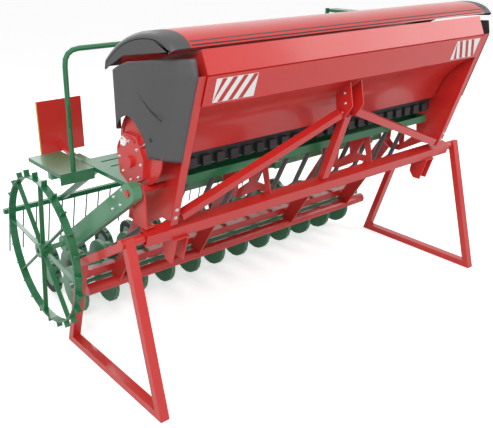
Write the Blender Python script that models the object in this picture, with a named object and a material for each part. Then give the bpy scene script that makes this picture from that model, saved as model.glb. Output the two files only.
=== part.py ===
"""Mounted seed drill on its parking stands, as separate closed solids.

Metres, +Z up. X runs across the working width with the drive wheel at -X, and -Y is
the tractor side. Pieces are drawn about the centre plane (x = 0) and the beam's front
(y = 0) with the floor at z = 0, and one parent empty carries them all to the origin
under the middle of the machine.
"""
import math

import bmesh
import bpy
from mathutils import Matrix, Vector

# ---- driving dimensions ------------------------------------------------------------
GAP = 0.0003            # between two pieces that touch
CLEAR = 0.006           # between pieces that move past each other
BEAM_HALF = 1.45        # half length of the main beam
BEAM_SIDE = 0.080
BEAM_WALL = 0.006
BEAM_Y, BEAM_Z = 0.036, 1.028
LEAN = math.radians(19.0)   # the front plane leans this much towards the tractor
FLANGE_X = 1.2775       # centre of the side plates' front flanges
FLANGE_WIDE = 0.050
PLATE = 0.008           # side plates and brackets
HOPPER_HALF = 1.245     # outside of the hopper's end walls
SHEET = 0.003           # hopper and lid sheet
COVER_X = 1.420         # outside of the plastic end covers
COVER_WALL = 0.004
STAND_X = 1.557         # middle plane of the parking stands
STAND_WIDE, STAND_DEEP = 0.060, 0.050
PLUG_R = 0.030          # stand tube in the beam's end
PLUG_IN = 0.300
ROW_PITCH = 0.250       # coulters of one rank
FRONT_ROW = 12
REAR_ROW = 11
DISC_R = 0.175
PRESS_R = 0.135
DISC_Z = DISC_R + 0.040
COULTER_TUBE_Y, COULTER_TUBE_Z, COULTER_TUBE_R = 0.870, 0.340, 0.042
COULTER_HALF = 1.43
FRONT_DISC_Y, REAR_DISC_Y = 1.160, 1.460
WHEEL_R = 0.500
WHEEL_X = -1.674
WHEEL_Y, WHEEL_Z = 0.953, 0.698
RIM_WIDE = 0.050
RIM_THICK = 0.010
SPOKES = 8
LUGS = 24
ARM_Y, ARM_Z = 0.085, 1.300
ARM_X = -1.475
PIN_R, PIN_CLEAR = 0.020, 0.0015   # the arm's pin, and the room round it in the boss
PLATFORM_Z = 1.110
PLATFORM_FRONT, PLATFORM_REAR = 0.560, 1.365
PLATFORM_HALF = 1.150
RAIL_R = 0.018
LADDER_X = 1.255
LADDER_Y, LADDER_WIDE = 1.080, 0.300
HARROW_Y, HARROW_Z = 2.300, 0.490
LENGTH_MID = 1.039      # middle of the machine in y, from the beam's front
WIDTH_MID = -0.055      # middle of the machine in x

# ---- finishes: colour, roughness, metallic -----------------------------------------
RED = ("red_paint", (0.55, 0.03, 0.025, 1), 0.35, 0.0)
GREEN = ("green_paint", (0.02, 0.20, 0.08, 1), 0.4, 0.0)
SAGE = ("sage_green_paint", (0.25, 0.42, 0.29, 1), 0.4, 0.0)
GREY = ("grey_plastic", (0.10, 0.10, 0.10, 1), 0.5, 0.0)
BLACK = ("black_plastic", (0.02, 0.02, 0.02, 1), 0.5, 0.0)

for old in list(bpy.data.objects):
    bpy.data.objects.remove(old)
PARTS = bpy.data.collections.new("seed_drill")
bpy.context.scene.collection.children.link(PARTS)
ORIGIN = bpy.data.objects.new("drill_origin", None)
ORIGIN.location = (-WIDTH_MID, -LENGTH_MID, 0)
PARTS.objects.link(ORIGIN)


# ---- shapes --------------------------------------------------------------------------
def shown(name, mesh):
    """A plain object for a mesh that is already in place."""
    piece = bpy.data.objects.new(name, mesh)
    PARTS.objects.link(piece)
    return piece


def block(size, centre, turn=None):
    """A box; turn is a rotation matrix about its centre."""
    bm = bmesh.new()
    bmesh.ops.create_cube(bm, size=1.0)
    bmesh.ops.scale(bm, vec=size, verts=bm.verts)
    place = Matrix.Translation(centre) @ (turn.to_4x4() if turn else Matrix())
    bmesh.ops.transform(bm, matrix=place, verts=bm.verts)
    mesh = bpy.data.meshes.new("block")
    bm.to_mesh(mesh)
    bm.free()
    return shown("block", mesh)


def along(start, end):
    """The turn whose Z runs from start to end and whose X stays as level as it can."""
    z = (Vector(end) - Vector(start)).normalized()
    side = Vector((1, 0, 0)) if abs(z.x) < 0.99 else Vector((0, 1, 0))
    x = (side - side.dot(z) * z).normalized()
    y = z.cross(x)
    return Matrix((x, y, z)).transposed()


def bar(start, end, wide, deep):
    """A rectangular bar between two points."""
    a, b = Vector(start), Vector(end)
    return block((wide, deep, (b - a).length), (a + b) / 2, along(a, b))


def rod(start, end, radius, sides=12, end_radius=None):
    """A round bar, or a cone, between two points."""
    a, b = Vector(start), Vector(end)
    bm = bmesh.new()
    bmesh.ops.create_cone(bm, cap_ends=True, segments=sides, radius1=radius,
                          radius2=radius if end_radius is None else end_radius,
                          depth=(b - a).length)
    place = Matrix.Translation((a + b) / 2) @ along(a, b).to_4x4()
    bmesh.ops.transform(bm, matrix=place, verts=bm.verts)
    mesh = bpy.data.meshes.new("rod")
    bm.to_mesh(mesh)
    bm.free()
    mesh.shade_smooth()
    mesh.set_sharp_from_angle(angle=math.radians(40))
    return shown("rod", mesh)


def made_mesh(curve_object, place):
    """A curve object turned into a welded mesh in its place."""
    PARTS.objects.link(curve_object)
    graph = bpy.context.evaluated_depsgraph_get()
    mesh = bpy.data.meshes.new_from_object(curve_object.evaluated_get(graph))
    bpy.data.objects.remove(curve_object)
    bm = bmesh.new()
    bm.from_mesh(mesh)
    bmesh.ops.remove_doubles(bm, verts=bm.verts, dist=0.00001)
    bmesh.ops.transform(bm, matrix=place, verts=bm.verts)
    bmesh.ops.recalc_face_normals(bm, faces=bm.faces)
    bm.to_mesh(mesh)
    bm.free()
    return shown("curve", mesh)


def pipe(points, radius):
    """A bent round tube with filled ends."""
    curve = bpy.data.curves.new("pipe", "CURVE")
    curve.dimensions = "3D"
    curve.bevel_depth = radius
    curve.bevel_resolution = 2
    curve.use_fill_caps = True
    spline = curve.splines.new("POLY")
    spline.points.add(len(points) - 1)
    for point, place in zip(spline.points, points):
        point.co = (*place, 1)
    return made_mesh(bpy.data.objects.new("pipe", curve), Matrix())


def plate(outline, low_x, high_x, holes=()):
    """A flat outline in y and z, with holes, between two values of x."""
    curve = bpy.data.curves.new("plate", "CURVE")
    curve.dimensions = "2D"
    curve.fill_mode = "BOTH"
    curve.extrude = (high_x - low_x) / 2
    for ring in (outline, *holes):
        spline = curve.splines.new("POLY")
        spline.points.add(len(ring) - 1)
        spline.use_cyclic_u = True
        for point, (y, z) in zip(spline.points, ring):
            point.co = (y, z, 0, 1)
    place = Matrix(((0, 0, 1, (low_x + high_x) / 2), (1, 0, 0, 0), (0, 1, 0, 0), (0, 0, 0, 1)))
    return made_mesh(bpy.data.objects.new("plate", curve), place)


def round_line(start, bend, end, steps=6):
    """Points on the curve that leaves start for bend and comes to end from it."""
    points = []
    for i in range(steps + 1):
        t = i / steps
        points.append(tuple((1 - t) ** 2 * a + 2 * t * (1 - t) * b + t * t * c
                            for a, b, c in zip(start, bend, end)))
    return points


def wall_outline(path, thick):
    """A closed outline along a path, thick to its left side."""
    inner = []
    for i, here in enumerate(path):
        before = Vector(path[max(i - 1, 0)])
        after = Vector(path[min(i + 1, len(path) - 1)])
        run = (after - before).normalized()
        inner.append((here[0] - run.y * thick, here[1] + run.x * thick))
    return list(path) + inner[::-1]


def circle(y, z, radius, sides=16):
    """A round outline in y and z."""
    steps = [2 * math.pi * i / sides for i in range(sides)]
    return [(y + radius * math.cos(a), z + radius * math.sin(a)) for a in steps]


def together(pieces):
    """Pieces that do not touch, as one object, to be joined to what carries them."""
    bm = bmesh.new()
    for piece in pieces:
        bm.from_mesh(piece.data)
        bpy.data.objects.remove(piece)
    mesh = bpy.data.meshes.new("together")
    bm.to_mesh(mesh)
    bm.free()
    return shown("together", mesh)


def finish(name, look, layers, cuts=(), pivot=(0, 0, 0)):
    """One closed body: the layers joined, the cuts taken out, its origin on its pivot."""
    base = layers[0]
    for kind, others in (("UNION", layers[1:]), ("DIFFERENCE", cuts)):
        for other in others:
            change = base.modifiers.new(kind.lower(), "BOOLEAN")
            change.operation = kind
            change.object = other
    graph = bpy.context.evaluated_depsgraph_get()
    mesh = bpy.data.meshes.new_from_object(base.evaluated_get(graph))
    for used in (*layers, *cuts):
        bpy.data.objects.remove(used)
    mesh.transform(Matrix.Translation(-Vector(pivot)))
    mesh.name = name
    piece = shown(name, mesh)
    piece.location = pivot
    piece.parent = ORIGIN
    slot, colour, rough, metal = look
    material = bpy.data.materials.get(slot)
    if material is None:
        material = bpy.data.materials.new(slot)
        material.use_nodes = True
        shader = material.node_tree.nodes["Principled BSDF"]
        shader.inputs["Base Color"].default_value = colour
        shader.inputs["Roughness"].default_value = rough
        shader.inputs["Metallic"].default_value = metal
    mesh.materials.clear()
    mesh.materials.append(material)
    return piece


LEAN_TURN = Matrix.Rotation(LEAN, 3, "X")


def on_front(z):
    """The y of the leaning front plane at a height."""
    return BEAM_Y - BEAM_SIDE / 2 / math.cos(LEAN) - (z - BEAM_Z) * math.tan(LEAN)


# ---- frame ---------------------------------------------------------------------------
def main_beam():
    """Square tube across the machine, open at both ends."""
    centre = (0, BEAM_Y, BEAM_Z)
    outside = block((2 * BEAM_HALF, BEAM_SIDE, BEAM_SIDE), centre, LEAN_TURN)
    bore = BEAM_SIDE - 2 * BEAM_WALL
    inside = block((2 * BEAM_HALF + 0.1, bore, bore), centre, LEAN_TURN)
    finish("main_beam", RED, [outside], [inside])


BEAM_TOP = BEAM_Z + BEAM_SIDE / 2 * (math.cos(LEAN) + math.sin(LEAN)) + 0.001
BEAM_LOW = BEAM_Z - BEAM_SIDE / 2 * (math.cos(LEAN) + math.sin(LEAN)) - 0.001
HEAD_LOW, HEAD_BEND, HEAD_HIGH = 1.550, 1.640, 1.790
DIAGONAL = 0.050
HEAD_HALF = 0.052


def a_frame():
    """Top link head on a post over the beam, with a diagonal to each side plate."""
    outline = [(-0.135, HEAD_LOW), (-0.200, HEAD_LOW), (-0.262, HEAD_BEND),
               (-0.235, HEAD_HIGH), (-0.115, 1.700)]
    cheeks = together([plate(outline, side - PLATE / 2, side + PLATE / 2)
                       for side in (-HEAD_HALF, HEAD_HALF)])
    back = block((2 * HEAD_HALF, PLATE, 0.130), (0, -0.150, HEAD_LOW + 0.075))
    finish("top_link_head", RED, [back, cheeks])
    post_top = HEAD_LOW + 0.060
    foot = (0, on_front(BEAM_TOP) + 0.045, BEAM_TOP - 0.005)
    post = bar(foot, (0, -0.180, post_top), 0.060, DIAGONAL)
    keep = block((0.2, 0.4, 0.6), (0, 0, BEAM_TOP + GAP + 0.3))
    head_cut = block((2 * HEAD_HALF + PLATE + 0.002, 0.3, 0.2),
                     (0, -0.15, HEAD_LOW - GAP + 0.1))
    trim(post, keep)
    finish("aframe_post", RED, [post], [head_cut])
    for side, name in ((-1, "left"), (1, "right")):
        top = (side * (HEAD_HALF + PLATE / 2 + GAP + 0.012), -0.172, HEAD_LOW + 0.030)
        foot_z = BEAM_TOP + 0.045
        foot = (side * (FLANGE_X - FLANGE_WIDE / 2 - 0.035), on_front(foot_z) + 0.030, foot_z)
        strut = bar(foot, top, DIAGONAL, DIAGONAL)
        cut = block((2 * (HEAD_HALF + PLATE / 2 + GAP), 0.4, 0.4), (0, -0.15, HEAD_LOW))
        finish("aframe_diagonal_" + name, RED, [strut], [cut])


def trim(piece, keep):
    """Keep only what lies inside another block."""
    change = piece.modifiers.new("keep", "BOOLEAN")
    change.operation = "INTERSECT"
    change.object = keep
    graph = bpy.context.evaluated_depsgraph_get()
    mesh = bpy.data.meshes.new_from_object(piece.evaluated_get(graph))
    piece.modifiers.clear()
    piece.data = mesh
    bpy.data.objects.remove(keep)


FLANGE_LOW, FLANGE_HIGH = BEAM_TOP + 0.002, 1.988


def side_plates():
    """Steel side plates on the beam, each with a folded front flange."""
    for side, name in ((-1, "left"), (1, "right")):
        inner = FLANGE_X - FLANGE_WIDE / 2
        low_x, high_x = sorted((side * (inner + 0.004), side * (inner + 0.004 + PLATE)))
        outline = [(on_front(FLANGE_LOW), FLANGE_LOW), (0.120, FLANGE_LOW), (0.340, 0.960),
                   (0.500, 0.960), (0.500, 1.180), (0.400, 1.500), (0.330, 1.900),
                   (on_front(FLANGE_HIGH), FLANGE_HIGH)]
        holes = [[(0.180, 1.140), (0.300, 1.040), (0.300, 1.250), (0.200, 1.330)],
                 [(0.345, 1.010), (0.400, 1.000), (0.445, 1.040), (0.430, 1.170),
                  (0.350, 1.300)]]
        web = plate(outline, low_x, high_x, holes if side > 0 else holes[1:])
        low_y, high_y = on_front(FLANGE_LOW), on_front(FLANGE_HIGH)
        strip = [(low_y, FLANGE_LOW), (low_y + PLATE, FLANGE_LOW),
                 (high_y + PLATE, FLANGE_HIGH), (high_y, FLANGE_HIGH)]
        middle = side * FLANGE_X
        flange = plate(strip, middle - FLANGE_WIDE / 2, middle + FLANGE_WIDE / 2)
        finish("side_plate_" + name, RED, [web, flange])


def centre_plates():
    """Two ribs on the beam that carry the metering rail and the platform beams."""
    for x, name in ((-0.5, "left"), (0.5, "right")):
        outline = [(0.000, BEAM_TOP), (0.120, BEAM_TOP), (0.340, 0.960), (0.500, 0.960),
                   (0.500, 1.090), (0.300, 1.240), (0.160, 1.280), (0.040, 1.280)]
        holes = [[(0.060, 1.130), (0.150, 1.130), (0.090, 1.240)],
                 [(0.220, 1.110), (0.340, 1.020), (0.330, 1.160), (0.230, 1.220)]]
        finish("rib_" + name, RED, [plate(outline, x - PLATE / 2, x + PLATE / 2, holes)])


def lower_hitch():
    """Plates under the beam for the tractor's lower links."""
    top = BEAM_LOW - GAP
    for side, name in ((-1, "left"), (1, "right")):
        outline = [(-0.010, top), (0.130, top), (0.150, 0.850), (0.110, 0.800), (0.050, 0.800)]
        ears = together([plate(outline, side * 1.250 - PLATE / 2, side * 1.250 + PLATE / 2),
                         plate(outline, side * 1.170 - PLATE / 2, side * 1.170 + PLATE / 2)])
        cap = block((0.110, 0.120, PLATE), (side * 1.210, 0.055, top - PLATE / 2))
        finish("lower_hitch_" + name, RED, [cap, ears])


# ---- hopper --------------------------------------------------------------------------
SEAM_Y, SEAM_Z = -0.285, 2.115
REAR_Y, REAR_Z = 0.400, 1.965
OUTLET_LOW = 1.470


def hopper():
    """Sheet steel trough with end walls, open at the top under the lid."""
    front = [(SEAM_Y + 0.004, SEAM_Z), (-0.334, 1.990), (-0.292, 1.830)]
    sweep = round_line((-0.292, 1.830), (-0.030, 1.700), (0.030, OUTLET_LOW))[1:]
    back = round_line((0.150, OUTLET_LOW), (0.230, 1.720), (REAR_Y - 0.020, 1.860))
    path = front + sweep + back + [(REAR_Y - 0.010, REAR_Z)]
    section = wall_outline(path, SHEET)
    ends = together([plate(path, side * (HOPPER_HALF - SHEET / 2) - SHEET / 2,
                           side * (HOPPER_HALF - SHEET / 2) + SHEET / 2) for side in (-1, 1)])
    half = HOPPER_HALF - 0.001
    finish("hopper_shell", RED, [plate(section, -half, half), ends])


def lid_path():
    """The lid's outer line, from the front seam over the crest to the rear lip."""
    crest = round_line((SEAM_Y + 0.004, SEAM_Z + 0.012), (-0.230, 2.196), (-0.090, 2.198), 4)
    fall = round_line((-0.090, 2.198), (0.200, 2.190), (0.415, 2.000), 5)[1:]
    return crest + fall + [(0.430, 1.950)]


LID_PIVOT = (0, SEAM_Y, SEAM_Z + 0.006)
LID_HALF = FLANGE_X + FLANGE_WIDE / 2


def lid():
    """Folded lid hinged along its front seam, with a plastic cap on each end."""
    path = lid_path()
    section = wall_outline(path[::-1], SHEET)
    handle = pipe([(-0.18, 0.418, 1.978), (-0.18, 0.470, 1.970), (0.18, 0.470, 1.970),
                   (0.18, 0.418, 1.978)], 0.008)
    finish("hopper_lid", RED, [plate(section, -LID_HALF, LID_HALF), handle], pivot=LID_PIVOT)
    end_line = path + [(0.330, 1.975), (0.190, 2.045), (SEAM_Y + 0.010, 2.102 + 0.012)]
    wall = wall_outline(path[::-1], COVER_WALL)
    for side, name in ((-1, "left"), (1, "right")):
        near, far = side * (LID_HALF + GAP), side * COVER_X
        top = plate(wall, min(near, far), max(near, far))
        inner = far - side * COVER_WALL
        end = plate(end_line, min(inner, far), max(inner, far))
        finish("lid_end_" + name, GREY, [top, end], pivot=LID_PIVOT)


def end_covers():
    """Plastic shells over the hopper's ends, open inwards."""
    top_front = (on_front(2.080) + 0.022, 2.080)
    outline = [(on_front(1.500), 1.500), top_front, (0.180, 2.018), (0.300, 1.955),
               (0.340, 1.880), (0.335, 1.640), (0.310, 1.560)]
    arch = round_line((0.310, 1.560), (0.300, 1.760), (0.130, 1.720), 5)
    tail = round_line((0.130, 1.720), (0.030, 1.690), (0.000, 1.500), 4)
    outline += arch[1:] + tail[1:]
    near = LID_HALF + GAP
    for side, name in ((-1, "left"), (1, "right")):
        low_x, high_x = sorted((side * near, side * COVER_X))
        solid = plate(outline, low_x, high_x)
        grown = plate(shrunk(outline, COVER_WALL),
                      *sorted((side * (near - 0.05), side * (COVER_X - COVER_WALL))))
        finish("end_cover_" + name, GREY, [solid], [grown])


def shrunk(outline, step):
    """A closed outline moved inwards by a step."""
    area = sum(a[0] * b[1] - b[0] * a[1] for a, b in zip(outline, outline[1:] + outline[:1]))
    sign = 1 if area > 0 else -1
    result = []
    for i, here in enumerate(outline):
        before, after = Vector(outline[i - 1]), Vector(outline[(i + 1) % len(outline)])
        here = Vector(here)
        first, second = (here - before).normalized(), (after - here).normalized()
        normal = (Vector((-first.y, first.x)) + Vector((-second.y, second.x))).normalized()
        lean = max(0.5, normal.dot(Vector((-first.y, first.x))))
        result.append(tuple(here + normal * (sign * step / lean)))
    return result


# ---- metering ------------------------------------------------------------------------
TUBE_HIGH = 1.350


def metering():
    """Seed wheels' housings under the hopper, the tray below them and the seed tubes."""
    low = TUBE_HIGH + GAP
    body = block((2.40, 0.090, OUTLET_LOW - GAP - low - 0.030),
                 (0, 0.090, (OUTLET_LOW - GAP + low + 0.030) / 2))
    cups = together([block((0.060, 0.150, 0.060), (0.105 * (i - 10.5), 0.090, low + 0.060))
                     for i in range(22)])
    finish("metering_bank", BLACK, [body, cups])
    rail = block((2.44, 0.040, 0.030), (0, 0.200, TUBE_HIGH - 0.020))
    tubes = []
    for i in range(FRONT_ROW):
        x = ROW_PITCH * (i - (FRONT_ROW - 1) / 2)
        tubes.append(pipe([(x * 0.86, 0.200, TUBE_HIGH - 0.030), (x * 0.90, 0.420, 0.900),
                           (x, 0.860, 0.560), (x, 1.060, 0.440)], 0.018))
    finish("seed_tubes", GREY, [rail, together(tubes)])
    tray = block((2.30, 0.120, 0.050), (0, 0.085, TUBE_HIGH - 0.036))
    hollow = block((2.29, 0.110, 0.060), (0, 0.085, TUBE_HIGH - 0.026))
    finish("calibration_tray", GREEN, [tray], [hollow])


def gearbox():
    """Faceted drive housing on the left side plate, its quadrant and its lever."""
    outline = [(0.080, 1.360), (0.220, 1.290), (0.330, 1.340), (0.350, 1.480), (0.260, 1.600),
               (0.120, 1.600), (0.060, 1.480)]
    far = -(FLANGE_X + 0.130)
    near = -(FLANGE_X - FLANGE_WIDE / 2 + 0.004 + PLATE + GAP)
    housing = plate(outline, far, near)
    shaft = rod((far - 0.020, 0.200, 1.440), (far + 0.01, 0.200, 1.440), 0.035)
    finish("gearbox", RED, [housing, shaft])


# ---- wheel side ----------------------------------------------------------------------
def stands():
    """Closed frames of square tube, each on a round tube plugged into the beam's end."""
    low = STAND_DEEP / 2
    corners = [(0.020, BEAM_Z), (0.626, 0.689), (0.859, low), (-0.244, low)]
    for side, name in ((-1, "left"), (1, "right")):
        outer = shrunk(corners, -STAND_DEEP / 2)
        inner = shrunk(corners, STAND_DEEP / 2)
        x = side * STAND_X
        frame = plate(outer, x - STAND_WIDE / 2, x + STAND_WIDE / 2, [inner])
        plug = rod((side * (STAND_X + 0.045), BEAM_Y, BEAM_Z),
                   (side * (BEAM_HALF - PLUG_IN), BEAM_Y, BEAM_Z), PLUG_R, 16)
        finish("parking_stand_" + name, RED, [frame, plug])


def wheel_arm():
    """Box arm from its bracket on the left side plate down to the wheel's axle."""
    pivot = (ARM_X, ARM_Y, ARM_Z)
    hub = (ARM_X, WHEEL_Y, WHEEL_Z)
    arm = bar(pivot, hub, 0.050, 0.120)
    boss = rod((ARM_X - 0.030, ARM_Y, ARM_Z), (ARM_X + 0.030, ARM_Y, ARM_Z), 0.060, 16)
    seat = rod((ARM_X + 0.035, WHEEL_Y, WHEEL_Z), (ARM_X - 0.060, WHEEL_Y, WHEEL_Z), 0.055, 16)
    axle = rod((ARM_X, WHEEL_Y, WHEEL_Z), (WHEEL_X - 0.020, WHEEL_Y, WHEEL_Z), 0.018, 12)
    pin_hole = rod((ARM_X - 0.1, ARM_Y, ARM_Z), (ARM_X + 0.1, ARM_Y, ARM_Z), PIN_R + PIN_CLEAR, 12)
    finish("wheel_arm", SAGE, [arm, boss, seat, axle], [pin_hole], pivot=pivot)
    web = -(FLANGE_X - FLANGE_WIDE / 2 + 0.004 + PLATE + GAP)
    near = ARM_X + 0.030 + CLEAR
    foot = plate([(0.020, BEAM_TOP), (0.150, BEAM_TOP), (0.150, 1.260), (0.130, 1.340),
                  (0.040, 1.340), (0.020, 1.260)], near, near + 0.012)
    pin = rod((ARM_X - 0.040, ARM_Y, ARM_Z), (web, ARM_Y, ARM_Z), PIN_R, 12)
    shoe = block((0.060, 0.120, 0.012), (near + 0.030, 0.085, BEAM_TOP + 0.006))
    finish("wheel_arm_bracket", RED, [foot, shoe, pin])


def drive_wheel():
    """Strip rim with lugs on flat spokes, on a hub that runs on the arm's axle."""
    at = (WHEEL_X, WHEEL_Y, WHEEL_Z)
    rim = plate(circle(WHEEL_Y, WHEEL_Z, WHEEL_R, 48), WHEEL_X - RIM_WIDE / 2,
                WHEEL_X + RIM_WIDE / 2, [circle(WHEEL_Y, WHEEL_Z, WHEEL_R - RIM_THICK, 48)])
    hub = rod((WHEEL_X - 0.035, WHEEL_Y, WHEEL_Z), (WHEEL_X + 0.045, WHEEL_Y, WHEEL_Z), 0.050, 16)
    spokes, lugs = [], []
    for i in range(SPOKES):
        a = math.radians(8) + 2 * math.pi * i / SPOKES
        out = Vector((0, math.cos(a), math.sin(a)))
        spokes.append(bar(Vector(at) + out * 0.040, Vector(at) + out * (WHEEL_R - 0.004),
                          0.030, 0.008))
    for i in range(LUGS):
        a = 2 * math.pi * i / LUGS
        out = Vector((0, math.cos(a), math.sin(a)))
        lugs.append(bar(Vector(at) + out * (WHEEL_R - 0.006), Vector(at) + out * (WHEEL_R + 0.040),
                        0.036, 0.010))
    bore = rod((WHEEL_X - 0.1, WHEEL_Y, WHEEL_Z), (WHEEL_X + 0.1, WHEEL_Y, WHEEL_Z), 0.0185, 12)
    finish("drive_wheel", GREEN, [rim, together(lugs), hub, together(spokes)], [bore], pivot=at)


# ---- coulters ------------------------------------------------------------------------
def coulters():
    """Round tube on hangers from the ribs, with a rank of coulters before and behind."""
    tube = rod((-COULTER_HALF, COULTER_TUBE_Y, COULTER_TUBE_Z),
               (COULTER_HALF, COULTER_TUBE_Y, COULTER_TUBE_Z), COULTER_TUBE_R, 16)
    upper = block((2 * COULTER_HALF, 0.050, 0.050), (0, 0.930, 0.440))
    hangers = []
    for x in (-1.2, -0.5, 0.5, 1.2):
        x_plate = x + 0.012 if x < 0 else x - 0.012
        hangers.append(bar((x_plate, 0.440, 1.020), (x_plate, 0.895, 0.345), 0.012, 0.110))
    finish("coulter_frame", RED, [tube, upper, together(hangers)])
    ranks = (("front", FRONT_ROW, FRONT_DISC_Y), ("rear", REAR_ROW, REAR_DISC_Y))
    for name, count, disc_y in ranks:
        rail_y, rail_z = (0.980, 0.350) if name == "front" else (0.980, 0.440)
        rail = block((ROW_PITCH * count, 0.020, 0.030), (0, rail_y, rail_z))
        arms, discs, forks, presses = [], [], [], []
        for i in range(count):
            x = ROW_PITCH * (i - (count - 1) / 2)
            arms.append(bar((x, rail_y, rail_z), (x, disc_y, DISC_Z), 0.024, 0.050))
            discs.append(rod((x - 0.016, disc_y, DISC_Z), (x + 0.016, disc_y, DISC_Z),
                             DISC_R, 18))
            wheel_y = disc_y + 0.410
            forks.append(bar((x, disc_y - 0.01, DISC_Z + 0.02), (x, wheel_y, PRESS_R + 0.030),
                             0.016, 0.040))
            presses.append(rod((x - 0.020, wheel_y, PRESS_R + 0.030),
                               (x + 0.020, wheel_y, PRESS_R + 0.030), PRESS_R, 16))
        finish("coulters_" + name, SAGE,
               [rail, together(arms), together(discs), together(forks), together(presses)])


# ---- platform ------------------------------------------------------------------------
def platform():
    """Tread plates on two square tubes behind the hopper, with a hand rail and a board."""
    depth = PLATFORM_REAR - PLATFORM_FRONT
    middle = (PLATFORM_REAR + PLATFORM_FRONT) / 2
    deck = block((2 * PLATFORM_HALF, depth, 0.030), (0, middle, PLATFORM_Z - 0.015))
    slots = [block((0.180, 0.020, 0.1), (0.24 * (i - 4), PLATFORM_FRONT + 0.12 + 0.14 * j,
                                         PLATFORM_Z)) for i in range(9) for j in range(5)]
    finish("platform", GREEN, [deck], [together(slots)])
    step = block((0.260 - GAP, 0.530, 0.030), (-1.285, 1.415, PLATFORM_Z - 0.015))
    apron = block((0.260 - GAP, 0.006, 0.080), (-1.285, 1.153, PLATFORM_Z - 0.040))
    finish("side_step", GREEN, [step, apron])
    top = PLATFORM_Z - 0.030 - GAP
    beams = [block((0.050, 1.150, 0.050), (x, 0.545 + 0.510, top - 0.025))
             for x in (-1.05, 0.0, 1.05)]
    cross = block((2.640, 0.050, 0.050), (-0.09, 0.540, top - 0.025))
    rear = block((2.640, 0.050, 0.050), (-0.09, 1.340, top - 0.025))
    finish("platform_beams", SAGE, [together(beams), cross, rear])
    rail_z, rail_y = 1.960, 1.100
    foot = (-1.300, 1.180, PLATFORM_Z + GAP)
    line = [foot, (-1.300, 1.180, 1.420), (-1.310, 1.150, 1.520), (-1.330, 1.110, 1.600),
            (-1.330, rail_y, 1.850)]
    corner = round_line((-1.330, rail_y, 1.850), (-1.330, rail_y, rail_z), (-1.220, rail_y, rail_z), 4)
    far = round_line((1.000, rail_y, rail_z), (1.110, rail_y, rail_z), (1.110, rail_y, 1.850), 4)
    line += corner[1:] + far + [(1.110, rail_y, PLATFORM_Z + GAP)]
    finish("hand_rail", GREEN, [pipe(line, RAIL_R)])
    board = block((0.380, 0.006, 0.423), (-1.020, 1.930, 1.242))
    arm = bar((-1.050, 1.6338, 1.040), (-1.050, 1.924, 1.100), 0.040, 0.030)
    finish("warning_board", RED, [board, arm])


def ladder():
    """Access ladder folded upright at the platform's right end."""
    low, high = PLATFORM_Z - 0.050, 2.060
    half = LADDER_WIDE / 2
    rails = together([bar((LADDER_X, LADDER_Y + side * half, low),
                          (LADDER_X, LADDER_Y + side * half, high), 0.030, 0.020)
                      for side in (-1, 1)])
    treads = together([block((0.120, LADDER_WIDE + 0.020, 0.025), (LADDER_X + 0.060, LADDER_Y, z))
                       for z in (1.30, 1.55, 1.80, 2.04)])
    axle = rod((LADDER_X, LADDER_Y - half - 0.040, low), (LADDER_X, LADDER_Y + half + 0.040, low),
               0.012)
    finish("access_ladder", GREEN, [axle, rails, treads], pivot=(LADDER_X, LADDER_Y, low))


def harrow():
    """Following harrow: a bar of spring tines on arms hinged behind the coulters."""
    rail = block((2.86, 0.040, 0.040), (0, HARROW_Y, HARROW_Z))
    arms, tines = [], []
    for x in (-0.90, 0.90):
        arms.append(bar((x, 1.460, 1.020), (x, HARROW_Y, HARROW_Z), 0.040, 0.040))
    for i in range(24):
        x = 0.12 * (i - 11.5)
        tines.append(rod((x, HARROW_Y, HARROW_Z), (x, HARROW_Y + 0.120, 0.070), 0.006, 6))
    finish("harrow", GREEN, [rail, together(arms), together(tines)], pivot=(0, 1.460, 1.020))


main_beam()
a_frame()
side_plates()
centre_plates()
lower_hitch()
hopper()
lid()
end_covers()
metering()
gearbox()
stands()
wheel_arm()
drive_wheel()
coulters()
platform()
ladder()
harrow()
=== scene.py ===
"""Looks of a mounted seed drill: paint, plastic, steel and the small pieces on the frame."""
import logging
import math
from dataclasses import dataclass, field
from enum import Enum

import bmesh
import bpy
import numpy as np
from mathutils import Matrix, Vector


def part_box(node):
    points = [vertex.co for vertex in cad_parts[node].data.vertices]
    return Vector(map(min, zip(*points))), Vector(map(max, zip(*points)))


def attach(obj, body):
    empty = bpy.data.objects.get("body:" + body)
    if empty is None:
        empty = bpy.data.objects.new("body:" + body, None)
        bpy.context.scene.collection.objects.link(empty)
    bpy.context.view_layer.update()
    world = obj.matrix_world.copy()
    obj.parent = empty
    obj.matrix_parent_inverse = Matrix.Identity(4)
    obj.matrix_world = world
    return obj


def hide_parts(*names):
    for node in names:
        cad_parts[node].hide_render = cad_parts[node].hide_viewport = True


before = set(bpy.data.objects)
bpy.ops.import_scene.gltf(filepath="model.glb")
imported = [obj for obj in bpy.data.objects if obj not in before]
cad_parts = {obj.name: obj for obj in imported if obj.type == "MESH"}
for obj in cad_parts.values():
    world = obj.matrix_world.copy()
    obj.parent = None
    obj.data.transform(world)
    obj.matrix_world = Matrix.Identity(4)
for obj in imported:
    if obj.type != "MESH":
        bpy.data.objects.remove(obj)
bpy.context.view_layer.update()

LOG = logging.getLogger("seed_drill")
Array = np.ndarray

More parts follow.
